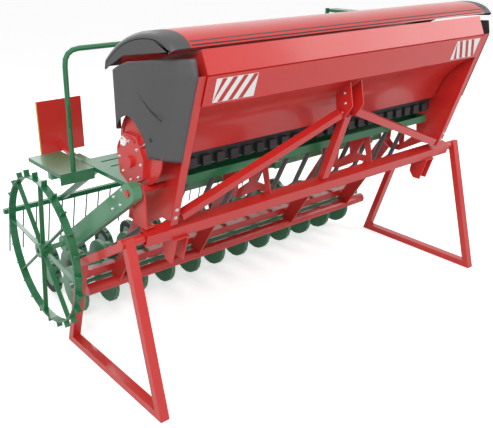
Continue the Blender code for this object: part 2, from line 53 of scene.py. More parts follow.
LEFT_RIGHT = ((-1, "left"), (1, "right"))
LEAN = math.radians(19.0)   # of the hopper's front and its flanges, from upright
BEAM_TO_ZERO = 0.036        # from the zero of the lines' y back to the middle of the beam's box
BOX_SIDES = np.array([(0, 1, 3, 2), (4, 6, 7, 5), (0, 4, 5, 1), (2, 3, 7, 6), (0, 2, 6, 4),
                      (1, 5, 7, 3)])    # corner numbers of a box's six faces
MERGE = 0.00025             # points nearer than this become one
SEALED = 0.0002             # radius that stands for the axis, small enough to be merged
CLOUD_SCALE = 2.3           # scale of the soft patches of colour and wear
WEAR_STARTS, WEAR_FULL = 0.62, 0.75     # levels of the patches between which wear sets in
ROUGH_SWING = 0.25          # how far roughness follows the patches
BUMP_DEPTH = 0.001
COAT_ROUGH = 0.12


class Body(Enum):
    """The moving bodies that new pieces ride on."""

    FRAME = "frame"
    LID = "lid"
    WHEEL = "drive_wheel"
    ARM = "wheel_arm"


# ---- finishes ------------------------------------------------------------------------
def surface_group() -> bpy.types.NodeTree:
    """Build the shared effect of grime, small colour change and fine bump.

    Returns:
        The node group, with its named inputs and outputs.
    """
    tree = bpy.data.node_groups.new("fine_surface", "ShaderNodeTree")
    face = tree.interface
    face.new_socket("Colour", in_out="INPUT", socket_type="NodeSocketColor")
    face.new_socket("Worn Colour", in_out="INPUT", socket_type="NodeSocketColor")
    for name, value in (("Rough", 0.4), ("Grain Scale", 300.0), ("Variation", 0.06), ("Wear", 0.2)):
        face.new_socket(name, in_out="INPUT", socket_type="NodeSocketFloat").default_value = value
    face.new_socket("Colour", in_out="OUTPUT", socket_type="NodeSocketColor")
    face.new_socket("Rough", in_out="OUTPUT", socket_type="NodeSocketFloat")
    face.new_socket("Height", in_out="OUTPUT", socket_type="NodeSocketFloat")
    nodes, links = tree.nodes, tree.links
    inlet, outlet = nodes.new("NodeGroupInput"), nodes.new("NodeGroupOutput")
    where = nodes.new("ShaderNodeTexCoord")
    cloud = nodes.new("ShaderNodeTexNoise")
    cloud.inputs["Scale"].default_value = CLOUD_SCALE
    cloud.inputs["Detail"].default_value = 5.0
    grain = nodes.new("ShaderNodeTexNoise")
    grain.inputs["Detail"].default_value = 2.0
    links.new(where.outputs["Object"], cloud.inputs["Vector"])
    links.new(where.outputs["Object"], grain.inputs["Vector"])
    links.new(inlet.outputs["Grain Scale"], grain.inputs["Scale"])
    spots = nodes.new("ShaderNodeMapRange")
    spots.inputs["From Min"].default_value = WEAR_STARTS
    spots.inputs["From Max"].default_value = WEAR_FULL
    links.new(cloud.outputs["Fac"], spots.inputs["Value"])
    amount = nodes.new("ShaderNodeMath")
    amount.operation = "MULTIPLY"
    links.new(spots.outputs["Result"], amount.inputs[0])
    links.new(inlet.outputs["Wear"], amount.inputs[1])
    worn = nodes.new("ShaderNodeMix")
    worn.data_type = "RGBA"
    links.new(amount.outputs[0], worn.inputs["Factor"])
    links.new(inlet.outputs["Colour"], worn.inputs["A"])
    links.new(inlet.outputs["Worn Colour"], worn.inputs["B"])
    shift = nodes.new("ShaderNodeMath")
    shift.operation = "MULTIPLY_ADD"
    shift.inputs[2].default_value = 1.0
    centred = nodes.new("ShaderNodeMath")
    centred.operation = "SUBTRACT"
    centred.inputs[1].default_value = 0.5
    links.new(cloud.outputs["Fac"], centred.inputs[0])
    links.new(centred.outputs[0], shift.inputs[0])
    links.new(inlet.outputs["Variation"], shift.inputs[1])
    tint = nodes.new("ShaderNodeVectorMath")
    tint.operation = "SCALE"
    links.new(worn.outputs["Result"], tint.inputs[0])
    links.new(shift.outputs[0], tint.inputs["Scale"])
    rough = nodes.new("ShaderNodeMath")
    rough.operation = "MULTIPLY_ADD"
    rough.inputs[1].default_value = ROUGH_SWING
    links.new(centred.outputs[0], rough.inputs[0])
    links.new(inlet.outputs["Rough"], rough.inputs[2])
    links.new(tint.outputs[0], outlet.inputs["Colour"])
    links.new(rough.outputs[0], outlet.inputs["Rough"])
    links.new(grain.outputs["Fac"], outlet.inputs["Height"])
    return tree


SURFACE = surface_group()


@dataclass(frozen=True)
class Finish:
    """One finish, as the numbers that its material is made from."""

    name: str
    colour: tuple[float, float, float]
    worn: tuple[float, float, float]
    rough: float
    metallic: float = 0.0
    coat: float = 0.0
    grain: float = 300.0
    bump: float = 0.05
    variation: float = 0.10
    wear: float = 0.15

    def material(self) -> bpy.types.Material:
        """Make the material, or return the one already made.

        Returns:
            The Blender material of this finish.
        """
        made = bpy.data.materials.get("look_" + self.name)
        if made:
            return made
        made = bpy.data.materials.new("look_" + self.name)
        made.use_nodes = True
        nodes, links = made.node_tree.nodes, made.node_tree.links
        shader = nodes["Principled BSDF"]
        group = nodes.new("ShaderNodeGroup")
        group.node_tree = SURFACE
        group.inputs["Colour"].default_value = (*self.colour, 1)
        group.inputs["Worn Colour"].default_value = (*self.worn, 1)
        group.inputs["Rough"].default_value = self.rough
        group.inputs["Grain Scale"].default_value = self.grain
        group.inputs["Variation"].default_value = self.variation
        group.inputs["Wear"].default_value = self.wear
        bump = nodes.new("ShaderNodeBump")
        bump.inputs["Strength"].default_value = self.bump
        bump.inputs["Distance"].default_value = BUMP_DEPTH
        links.new(group.outputs["Colour"], shader.inputs["Base Color"])
        links.new(group.outputs["Rough"], shader.inputs["Roughness"])
        links.new(group.outputs["Height"], bump.inputs["Height"])
        links.new(bump.outputs["Normal"], shader.inputs["Normal"])
        shader.inputs["Metallic"].default_value = self.metallic
        shader.inputs["Coat Weight"].default_value = self.coat
        shader.inputs["Coat Roughness"].default_value = COAT_ROUGH
        return made


RED = Finish("red_paint", (0.60, 0.022, 0.018), (0.42, 0.05, 0.04), 0.36, coat=0.5, grain=420)
GREEN = Finish("green_paint", (0.012, 0.165, 0.060), (0.03, 0.10, 0.05), 0.36, coat=0.4)
SAGE = Finish("sage_paint", (0.07, 0.26, 0.13), (0.16, 0.30, 0.20), 0.36, coat=0.5)
GREY = Finish("grey_plastic", (0.075, 0.075, 0.078), (0.11, 0.11, 0.11), 0.5, grain=900, bump=0.25)
BLACK = Finish("black_plastic", (0.018, 0.018, 0.02), (0.05, 0.05, 0.05), 0.5, grain=700, bump=0.2)
RUBBER = Finish("dark_rubber", (0.03, 0.03, 0.032), (0.09, 0.085, 0.08), 0.7, grain=260, bump=0.4)
STEEL = Finish("zinc_steel", (0.62, 0.63, 0.63), (0.4, 0.4, 0.38), 0.3, metallic=1.0)
DISC = Finish("disc_steel", (0.16, 0.18, 0.17), (0.25, 0.2, 0.16), 0.38, metallic=0.8)
WHITE = Finish("white_film", (0.85, 0.85, 0.85), (0.7, 0.7, 0.68), 0.4, variation=0.03)
YELLOW = Finish("yellow_film", (0.85, 0.62, 0.03), (0.7, 0.5, 0.05), 0.4, variation=0.03)
RED_FILM = Finish("red_film", (0.50, 0.03, 0.025), (0.4, 0.05, 0.04), 0.4, variation=0.03)

NODE_LOOKS = {
    "end_cover_left": GREY, "end_cover_right": GREY, "lid_end_left": GREY,
    "lid_end_right": GREY, "seed_tubes": GREY, "metering_bank": BLACK, "platform": GREEN,
    "side_step": GREEN, "hand_rail": GREEN, "calibration_tray": GREEN, "access_ladder": GREEN,
    "harrow": GREEN, "drive_wheel": GREEN, "coulters_front": SAGE, "coulters_rear": SAGE,
    "platform_beams": SAGE, "wheel_arm": SAGE,
}


# ---- mesh making ---------------------------------------------------------------------
def node_box(name: str) -> tuple[Array, Array]:
    """The low and the high corner of a carried-over solid's box."""
    low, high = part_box(name)
    return np.array(low), np.array(high)


def placed(name: str, mesh: bpy.types.Mesh, look: Finish, body: Body) -> bpy.types.Object:
    """Give a mesh its finish, put it into the scene and let it ride.

    Args:
        name: The piece's name.
        mesh: Its mesh, in place.
        look: Its finish.
        body: The body it moves with.

    Returns:
        The new object.
    """
    mesh.materials.append(look.material())
    piece = bpy.data.objects.new(name, mesh)
    bpy.context.scene.collection.objects.link(piece)
    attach(piece, body.value)
    LOG.info("%s: %d faces on %s", name, len(mesh.polygons), body.value)
    return piece


def mesh_piece(name: str, points: Array, faces: Array, look: Finish, body: Body,
               smooth: bool = False) -> bpy.types.Object:
    """Put worked-out points and faces into a new piece and let it ride.

    Args:
        name: The piece's name.
        points: An n by 3 array of corners in metres.
        faces: An m by 3 or m by 4 array of corner numbers.
        look: Its finish.
        body: The body it moves with.
        smooth: True for round pieces.

    Returns:
        The new object.
    """
    mesh = bpy.data.meshes.new(name)
    mesh.from_pydata(points.tolist(), [], faces.tolist())
    mesh.validate()
    mesh.update()
    if smooth:
        mesh.shade_smooth()
        mesh.set_sharp_from_angle(angle=math.radians(35))
    return placed(name, mesh, look, body)


def boxes(centres: Array, axes: Array) -> tuple[Array, Array]:
    """Corners and faces of many boxes: centre plus or minus each of three half axes.

    Args:
        centres: n by 3 centres.
        axes: n by 3 by 3 half axes, one per row.

    Returns:
        Points and faces of all boxes together.
    """
    signs = np.array([(x, y, z) for x in (-1, 1) for y in (-1, 1) for z in (-1, 1)], float)
    points = centres[:, None] + np.einsum("ks,nsc->nkc", signs, axes)
    faces = (BOX_SIDES[None] + 8 * np.arange(len(centres))[:, None, None]).reshape(-1, 4)
    return points.reshape(-1, 3), faces


def turned(profile: Array, axis: Array, centres: Array, sides: int = 24) -> tuple[Array, Array]:
    """Closed rings of a profile turned about an axis through each centre.

    A point (r, h) of the profile goes to centre + h*axis + r*(cos a*u + sin a*v).

    Args:
        profile: k by 2 points (radius, height along the axis), a closed loop.
        axis: The unit axis.
        centres: n by 3 centres.
        sides: Steps round the turn.

    Returns:
        Points and faces of all the turned shapes together.
    """
    axis = np.asarray(axis, float)
    helper = np.array([0.0, 0.0, 1.0]) if abs(axis[2]) < 0.9 else np.array([1.0, 0.0, 0.0])
    u = np.cross(helper, axis)
    u /= np.linalg.norm(u)
    v = np.cross(axis, u)
    angle = 2 * np.pi * np.arange(sides) / sides
    around = np.cos(angle)[:, None] * u + np.sin(angle)[:, None] * v
    ring = profile[None, :, :1] * around[:, None] + profile[None, :, 1:] * axis
    count = len(profile)
    points = (centres[:, None, None] + ring[None]).reshape(-1, 3)
    i, j = np.meshgrid(np.arange(sides), np.arange(count), indexing="ij")
    after, beside = (i + 1) % sides, (j + 1) % count
    quads = np.stack([i * count + j, after * count + j, after * count + beside,
                      i * count + beside], axis=-1).reshape(-1, 4)
    faces = (quads[None] + sides * count * np.arange(len(centres))[:, None, None]).reshape(-1, 4)
    return points, faces


def turned_piece(name: str, profile: Array, axis: Array, centres: Array, sides: int,
                 look: Finish, body: Body) -> None:
    """One piece of a profile turned about an axis through each centre, as turned gives it.

    Args:
        name: The piece's name.
        profile: k by 2 points (radius, height along the axis), a closed loop.
        axis: The unit axis.
        centres: n by 3 centres.
        sides: Steps round the turn.
        look: Its finish.
        body: The body it moves with.
    """
    points, faces = turned(profile, axis, centres, sides)
    recalculated(mesh_piece(name, points, faces, look, body, True))


def bolt_heads(name: str, places: Array, axis: tuple[float, float, float], body: Body,
               size: float = 0.011) -> None:
    """Domed heads on washers, turned about one axis.

    Args:
        name: The piece's name.
        places: n by 3 points on the surface.
        axis: The surface's outward normal.
        body: The body they move with.
        size: Radius of the head.
    """
    normal = np.asarray(axis, float) / np.linalg.norm(axis)
    profile = np.array([(1e-4, -0.001), (size * 1.6, -0.001), (size * 1.6, 0.002),
                        (size, 0.002), (size, 0.006), (size * 0.7, 0.009), (1e-4, 0.010)])
    turned_piece(name, profile, normal, places, 12, STEEL, body)


def recalculated(piece: bpy.types.Object) -> None:
    """Merge the doubles of a closed piece and turn its faces outwards.

    Args:
        piece: The piece, whose mesh is changed.
    """
    work = bmesh.new()
    work.from_mesh(piece.data)
    bmesh.ops.remove_doubles(work, verts=work.verts, dist=MERGE)
    bmesh.ops.recalc_face_normals(work, faces=work.faces)
    work.to_mesh(piece.data)
    work.free()


def inner_side(path: Array) -> Array:
    """Unit steps across a line in y and z, its direction turned a quarter to its inner side.

    Args:
        path: k by 2 points (y, z).

    Returns:
        k by 2 unit steps.
    """
    run = np.gradient(path, axis=0)
    run /= np.linalg.norm(run, axis=1)[:, None]
    return np.stack([run[:, 1], -run[:, 0]], axis=1)


def folded(name: str, path: Array, thick: float, xs: Array, insets: Array, look: Finish,
           body: Body) -> bpy.types.Object:
    """A sheet that follows a line in y and z, drawn across the machine.

    The point at step k of the line and station i across is path[k] moved to its inner
    side by insets[i]; the sheet's inner face is thick further in.

    Args:
        name: The piece's name.
        path: k by 2 points (y, z), with the outer side on the left hand.
        thick: The sheet's thickness.
        xs: Stations across the machine.
        insets: How far the outer line moves in at each station.
        look: Its finish.
        body: The body it moves with.

    Returns:
        The new piece.
    """
    inward = inner_side(path)
    steps, stations = len(path), len(xs)
    layers = []
    for depth in (0.0, thick):
        line = path[None] + inward[None] * (insets[:, None, None] + depth)
        across = np.repeat(xs[:, None], steps, axis=1)[..., None]
        layers.append(np.concatenate([across, line], axis=2))
    points = np.stack(layers).reshape(-1, 3)
    number = np.arange(2 * stations * steps).reshape(2, stations, steps)
    quads = []
    for layer in number:
        quads.append(np.stack([layer[:-1, :-1], layer[1:, :-1], layer[1:, 1:], layer[:-1, 1:]], -1))
    for end in (0, -1):
        a, b = number[0, end], number[1, end]
        quads.append(np.stack([a[:-1], a[1:], b[1:], b[:-1]], -1))
        a, b = number[0, :, end], number[1, :, end]
        quads.append(np.stack([a[:-1], a[1:], b[1:], b[:-1]], -1))
    faces = np.concatenate([q.reshape(-1, 4) for q in quads])
    piece = mesh_piece(name, points, faces, look, body, True)
    recalculated(piece)
    return piece


def bend(start: tuple[float, float], pull: tuple[float, float], end: tuple[float, float],
         steps: int = 14) -> Array:
    """Points of the curve (1-t)^2 start + 2t(1-t) pull + t^2 end.

    Args:
        start: The first point (y, z).
        pull: The point that the curve bends towards.
        end: The last point.
        steps: How many points.

    Returns:
        The points, steps by 2.
    """
    t = np.linspace(0, 1, steps)[:, None]
    return (1 - t) ** 2 * np.array(start) + 2 * t * (1 - t) * np.array(pull) + t * t * np.array(end)


def tube(name: str, route: Array, radius: float, look: Finish, body: Body) -> None:
    """A round tube: at each point of the route, a circle in the plane across the route.

    Args:
        name: The piece's name.
        route: n by 3 points.
        radius: The tube's radius.
        look: Its finish.
        body: The body it moves with.
    """
    run = np.gradient(route, axis=0)
    run /= np.linalg.norm(run, axis=1)[:, None]
    helper = np.array([0.3, 0.2, 0.93])     # runs along none of the routes
    u = np.cross(run, helper)
    u /= np.linalg.norm(u, axis=1)[:, None]
    v = np.cross(run, u)
    sides = 10
    a = 2 * np.pi * np.arange(sides) / sides
    ring = np.cos(a)[None, :, None] * u[:, None] + np.sin(a)[None, :, None] * v[:, None]
    points = (route[:, None] + radius * ring).reshape(-1, 3)
    number = np.arange(len(points)).reshape(len(route), sides)
    ahead = np.roll(number, -1, axis=1)
    quads = np.stack([number[:-1], ahead[:-1], ahead[1:], number[1:]], -1).reshape(-1, 4)
    caps = [list(number[0]), list(number[-1][::-1])]
    mesh = bpy.data.meshes.new(name)
    mesh.from_pydata(points.tolist(), [], quads.tolist() + [[int(i) for i in c] for c in caps])
    mesh.shade_smooth()
    mesh.set_sharp_from_angle(angle=math.radians(50))
    recalculated(placed(name, mesh, look, body))


def flat_plate(name: str, near: Array, through: Array, look: Finish, body: Body) -> None:
    """A flat plate between an outline and the same outline moved by one step.

    Args:
        name: The piece's name.
        near: n by 3 points round the outline.
        through: The step from the near face to the far one.
        look: Its finish.
        body: The body it moves with.
    """
    count = len(near)
    k = np.arange(count)
    rim = np.stack([k, (k + 1) % count, (k + 1) % count + count, k + count], -1)
    mesh = bpy.data.meshes.new(name)
    mesh.from_pydata(np.concatenate([near, near + through]).tolist(), [],
                     [list(range(count)), list(range(2 * count - 1, count - 1, -1))]
                     + rim.tolist())
    recalculated(placed(name, mesh, look, body))


# ---- sub-assemblies ------------------------------------------------------------------
@dataclass
class Hopper:
    """Trough, lid and the plastic shells on their ends."""

    sheet: float = 0.003
    plastic: float = 0.004
    half: float = 1.244
    lid_half: float = 1.3022
    cover_x: float = 1.4195
    corner: float = 0.045
    corner_share: float = 0.8
    end_in: float = 0.001
    cap_gap: float = 0.0004
    # Inset and half sizes of the strips of painted shade in the lid's grooves.
    groove_shade_in: float = 0.01
    groove_shade_half: tuple[float, float] = (0.004, 0.0008)
    handle_half: float = 0.18
    handle_y: float = 0.420
    handle_z: float = 1.974
    handle_reach: float = 0.050
    handle_r: float = 0.008
    shell_front: float = -0.20
    shell_rear: float = 0.336
    lean_y: float = 0.036 - 0.0423
    lean_z: float = 1.028
    ease_z: float = 1.99
    ease_share: float = 1.6
    # Radius of the black tube of painted shade in the cover's groove.
    cover_groove_shade_r: float = 0.003

    def __post_init__(self) -> None:
        """Take the centre plane and the zero of the lines' y from the main beam."""
        low, high = node_box("main_beam")
        self.middle = (low[0] + high[0]) / 2
        self.back = (low[1] + high[1]) / 2 - BEAM_TO_ZERO

    def line(self, *parts: Array) -> Array:
        """Join stretches of line, without their shared ends, at the machine's place in y.

        Args:
            parts: Stretches of k by 2 points (y, z), each starting where the last one ends.

        Returns:
            One line of points (y, z).
        """
        joined = [parts[0]] + [part[1:] for part in parts[1:]]
        return np.concatenate(joined) + np.array([self.back, 0.0])

    def build(self) -> None:
        """Make the trough, the lid and both ends."""
        self.trough()
        self.lid()
        for side, name in LEFT_RIGHT:
            self.lid_end(side, name)
            self.cover(side, name)

    def trough(self) -> None:
        """Sheet from the front seam down the concave wall, past the outlet and up the back."""
        seam, brow, shoulder = (-0.281, 2.113), (-0.334, 1.990), (-0.293, 1.830)
        throat, outlet = (0.030, 1.4705), (0.150, 1.4705)
        heel, rear_edge = (0.380, 1.860), (0.390, 1.963)
        path = self.line(np.array([seam, brow, shoulder]),
                         bend(shoulder, (-0.030, 1.700), throat, 22), np.array([throat, outlet]),
                         bend(outlet, (0.230, 1.720), heel), np.array([heel, rear_edge]))
        xs = self.middle + np.array([-self.half, self.half])
        wall = folded("hopper_sheet", path[::-1], self.sheet, xs, np.zeros(2), RED, Body.FRAME)
        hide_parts("hopper_shell")
        for side, name in LEFT_RIGHT:
            x = self.middle + side * (self.half - self.end_in)
            near = np.column_stack([np.full(len(path), x), path])
            flat_plate("hopper_end_" + name, near, np.array([-side * self.sheet, 0, 0]), RED,
                       Body.FRAME)

    def lid_line(self) -> Array:
        """The lid's outer line from the front seam over the crest to the rear lip."""
        seam, crest, rear = (-0.281, 2.127), (-0.090, 2.1975), (0.415, 2.000)
        return self.line(bend(seam, (-0.230, 2.196), crest), bend(crest, (0.200, 2.190), rear),
                         np.array([rear, (0.430, 1.951)]))

    def lid(self) -> None:
        """Lid sheet, its front grooves drawn as grey and black strips of painted shade, and its rear
        handle.
        """
        path = self.lid_line()
        xs = self.middle + np.array([-self.lid_half, self.lid_half])
        skin = folded("lid_sheet", path, self.sheet, xs, np.zeros(2), RED, Body.LID)
        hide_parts("hopper_lid")
        # The grey and the black strips across the lid's front are painted shade standing for its
        # pressed grooves.
        for step, look, name in ((3, GREY, "grey"), (1, BLACK, "dark")):
            at = np.array([self.middle, *path[step]])
            run = path[step + 1] - path[step]
            run /= np.linalg.norm(run)
            along, out = self.groove_shade_half
            points, faces = boxes(at[None], np.array([[[self.lid_half - self.groove_shade_in, 0, 0],
                                                       [0, run[0] * along, run[1] * along],
                                                       [0, -run[1] * out, run[0] * out]]]))
            mesh_piece("lid_groove_shade_" + name, points, faces, look, Body.LID)
        turn = np.linspace(0, np.pi, 15)
        reach = self.handle_reach * np.minimum(1, 2.2 * np.sin(turn))
        route = np.column_stack([self.middle - self.handle_half * np.cos(turn),
                                 self.back + self.handle_y + reach,
                                 np.full(len(turn), self.handle_z)])
        tube("lid_handle", route, self.handle_r, STEEL, Body.LID)

    def lid_end(self, side: int, name: str) -> None:
        """Plastic cap that carries the lid's line to a rounded end, and its flat end face.

        At share t of the turn the cap's line is corner * sin(t * 90 degrees) further out and
        moved in by corner * corner_share * (1 - cos(t * 90 degrees)).

        Args:
            side: -1 at the left, 1 at the right.
            name: Which side it is on.
        """
        path = self.lid_line()
        t = np.linspace(0, 1, 8)
        near, far = self.lid_half + self.cap_gap, self.cover_x
        ring = far - self.corner + self.corner * np.sin(t * np.pi / 2)
        inset = self.corner * self.corner_share * (1 - np.cos(t * np.pi / 2))
        xs = self.middle + side * np.concatenate([[near], ring])
        insets = np.concatenate([[0.0], inset])
        cap = folded("lid_cap_" + name, path, self.plastic, xs, insets, GREY, Body.LID)
        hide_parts("lid_end_" + name)
        inner = path + inner_side(path) * insets[-1]
        low = self.line(np.array([(0.330, 1.977), (0.190, 2.045), (-0.270, 2.116)]))
        outline = np.concatenate([inner, low])
        face = np.column_stack([np.full(len(outline), self.middle + side * far), outline])
        flat_plate("lid_cap_face_" + name, face, np.array([-side * self.plastic, 0, 0]), GREY,
                   Body.LID)

    def cover(self, side: int, name: str) -> None:
        """Plastic shell: its plan line bulges from the flange to the outside and round the back.

        The point (u, v) has plan distance g(u) back from the leaning front and x(u) out, and its
        height runs from the arched lower edge to the sloping upper edge as v goes from 0 to 1.

        Args:
            side: -1 at the left, 1 at the right.
            name: Which side it is on.
        """
        u = np.linspace(0, 1, 40)
        shares = [0, 0.06, 0.2, 0.4, 0.6, 0.88, 0.95, 1.0]
        out = np.interp(u, shares,
                        [1.3035, 1.322, 1.368, 1.404, 1.4175, 1.4185, 1.408, 1.375])
        g = np.interp(u, shares,
                      [0.0, 0.02, 0.14, 0.36, 0.60, 0.955, 0.99, 1.0])
        start, rear = self.shell_front, self.shell_rear
        ref = start + (rear - start) * g
        bottom = np.interp(ref, [start, 0.0, 0.03, 0.13, 0.2, 0.26, 0.30, rear],
                           [1.505, 1.505, 1.600, 1.700, 1.715, 1.690, 1.640, 1.600])
        top = np.interp(ref, [start, 0.0, 0.18, 0.26, rear], [2.080, 2.052, 2.018, 1.985, 1.940])
        v = np.linspace(0, 1, 30)
        z = bottom[:, None] + (top - bottom)[:, None] * v[None]
        lean = math.tan(LEAN)
        ease = np.maximum(0, z - self.ease_z) * lean * self.ease_share
        front = self.lean_y - (z - self.lean_z) * lean + ease
        y = self.back + front + (rear - front) * g[:, None]
        x = self.middle + side * np.repeat(out[:, None], len(v), axis=1)
        points = np.stack([x, y, z], -1).reshape(-1, 3)
        number = np.arange(len(points)).reshape(len(u), len(v))
        faces = np.stack([number[:-1, :-1], number[1:, :-1], number[1:, 1:], number[:-1, 1:]],
                         -1).reshape(-1, 4)
        if side > 0:
            faces = faces[:, ::-1]
        shell = mesh_piece("cover_shell_" + name, points, faces, GREY, Body.FRAME, True)
        wall = shell.modifiers.new("wall", "SOLIDIFY")
        wall.thickness = self.plastic
        wall.offset = -1.0
        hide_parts("end_cover_" + name)
        # The black tube along the cover is painted shade in its moulded groove.
        groove = self.line(bend((0.165, 1.990), (0.030, 1.790), (-0.130, 1.740), 24))
        span = np.interp(groove[:, 0] - self.back, [-0.13, -0.02, 0.06, 0.165],
                         [1.401, 1.4125, 1.4170, 1.4180])
        route = np.column_stack([self.middle + side * span, groove])
        tube("cover_groove_shade_" + name, route, self.cover_groove_shade_r, BLACK, Body.FRAME)


@dataclass
class LeaningFront:
    """The leaning front plane, with its band and its two striped plates."""

    sticker: tuple[float, float] = (0.282, 0.141)
    bands: int = 4
    proud: float = 0.0012
    band_high: float = 0.170
    band_down: float = 0.003
    band_out: float = 0.0075
    band_half_thick: float = 0.003
    flange: float = 0.052
    plate_in: float = 0.20

    def plane(self) -> tuple[Array, Array, Array]:
        """The plane of the front.

        Returns:
            A point at its top, the way up along it and its outward normal.
        """
        low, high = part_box("side_plate_left")
        up = np.array([0.0, -math.sin(LEAN), math.cos(LEAN)])
        normal = np.array([0.0, -math.cos(LEAN), -math.sin(LEAN)])
        top = np.array([0.0, low[1], high[2]])
        return top, up, normal

    def build(self) -> None:
        """Make the front band panel and its two striped plates."""
        top, up, normal = self.plane()
        middle = (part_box("hopper_shell")[0][0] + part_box("hopper_shell")[1][0]) / 2
        half = (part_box("side_plate_right")[1][0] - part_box("side_plate_left")[0][0]) / 2
        half -= self.flange
        height = self.band_high
        centre = top - up * (height / 2 + self.band_down) + normal * self.band_out
        centre[0] = middle
        axes = np.array([[[half, 0, 0], up * height / 2, normal * self.band_half_thick]])
        points, faces = boxes(centre[None], axes)
        band = mesh_piece("front_band", points, faces, RED, Body.FRAME)
        face = centre + normal * (self.band_half_thick + self.proud)
        for side, name in LEFT_RIGHT:
            self.striped(name, face + np.array([side * (half - self.plate_in), 0, 0]), up, normal, side)

    def striped(self, name: str, at: Array, up: Array, normal: Array, side: int) -> None:
        """A white plate with slanting red bands, each band its own thin solid.

        Args:
            name: Which side it is on.
            at: The plate's centre.
            up: The way up along the front.
            normal: The way out of the front.
            side: -1 at the left, 1 at the right, which turns the slant round.
        """
        wide, high = self.sticker
        right = np.array([1.0, 0, 0])
        points, faces = boxes(at[None], np.array([[right * wide / 2, up * high / 2,
                                                   normal * 0.0006]]))
        plate = mesh_piece("hazard_plate_" + name, points, faces, WHITE, Body.FRAME)
        step = wide / self.bands
        starts = -wide / 2 + step * np.arange(self.bands)
        slant = high * 0.55 * -side
        low = np.stack([starts, starts + step * 0.45], axis=1)
        corner = []
        for depth in (0.0007, 0.0012):
            for level in (-1, 1):
                across = np.clip(low + slant * level * 0.5, -wide / 2, wide / 2)
                corner.append(at + across[..., None] * right + up * high / 2 * level * 0.97
                              + normal * depth)
        block = np.stack(corner, axis=1).reshape(-1, 3)
        faces = (BOX_SIDES[None] + 8 * np.arange(self.bands)[:, None, None]).reshape(-1, 4)
        bands = mesh_piece("hazard_bands_" + name, block, faces, RED_FILM, Body.FRAME)
        recalculated(bands)


@dataclass
class Coulters:
    """Press tyres, seed discs and disc hubs on the two ranks of coulters."""

    pitch: float = 0.25
    disc_r: float = 0.175
    press_r: float = 0.135
    press_back: float = 0.410
    disc_up: float = 0.185
    ranks: dict[str, int] = field(default_factory=lambda: {"front": 12, "rear": 11})

    def build(self) -> None:
        """Make every rank's press tyres, discs and hubs, each as one mesh."""
        for name, count in self.ranks.items():
            low, high = node_box("coulters_" + name)
            centre_x = (low[0] + high[0]) / 2
            x = centre_x + self.pitch * (np.arange(count) - (count - 1) / 2)
            press_y = high[1] - self.press_r
            disc_y = press_y - self.press_back
            floor = low[2]
            tyre = np.array([(self.press_r * 0.62, -0.026), (self.press_r * 0.9, -0.027),
                             (self.press_r - 0.002, -0.018), (self.press_r - 0.001, 0.0),
                             (self.press_r - 0.002, 0.018), (self.press_r * 0.9, 0.027),
                             (self.press_r * 0.62, 0.026)])
            at = np.stack([x, np.full(count, press_y), np.full(count, floor + self.press_r)], 1)
            turned_piece("press_tyres_" + name, tyre, (1, 0, 0), at, 24, RUBBER, Body.FRAME)
            disc = np.array([(SEALED, -0.020), (0.06, -0.0195), (self.disc_r - 0.001, -0.003),
                             (self.disc_r - 0.001, 0.003), (0.06, 0.0195), (SEALED, 0.020)])
            at = np.stack([x, np.full(count, disc_y), np.full(count, floor + self.disc_up)], 1)
            turned_piece("seed_discs_" + name, disc, (1, 0, 0), at, 36, DISC, Body.FRAME)
            hub = np.array([(SEALED, -0.032), (0.028, -0.032), (0.03, -0.028), (0.03, 0.028),
                            (0.028, 0.032), (SEALED, 0.032)])
            turned_piece("disc_hubs_" + name, hub, (1, 0, 0), at, 16, SAGE, Body.FRAME)


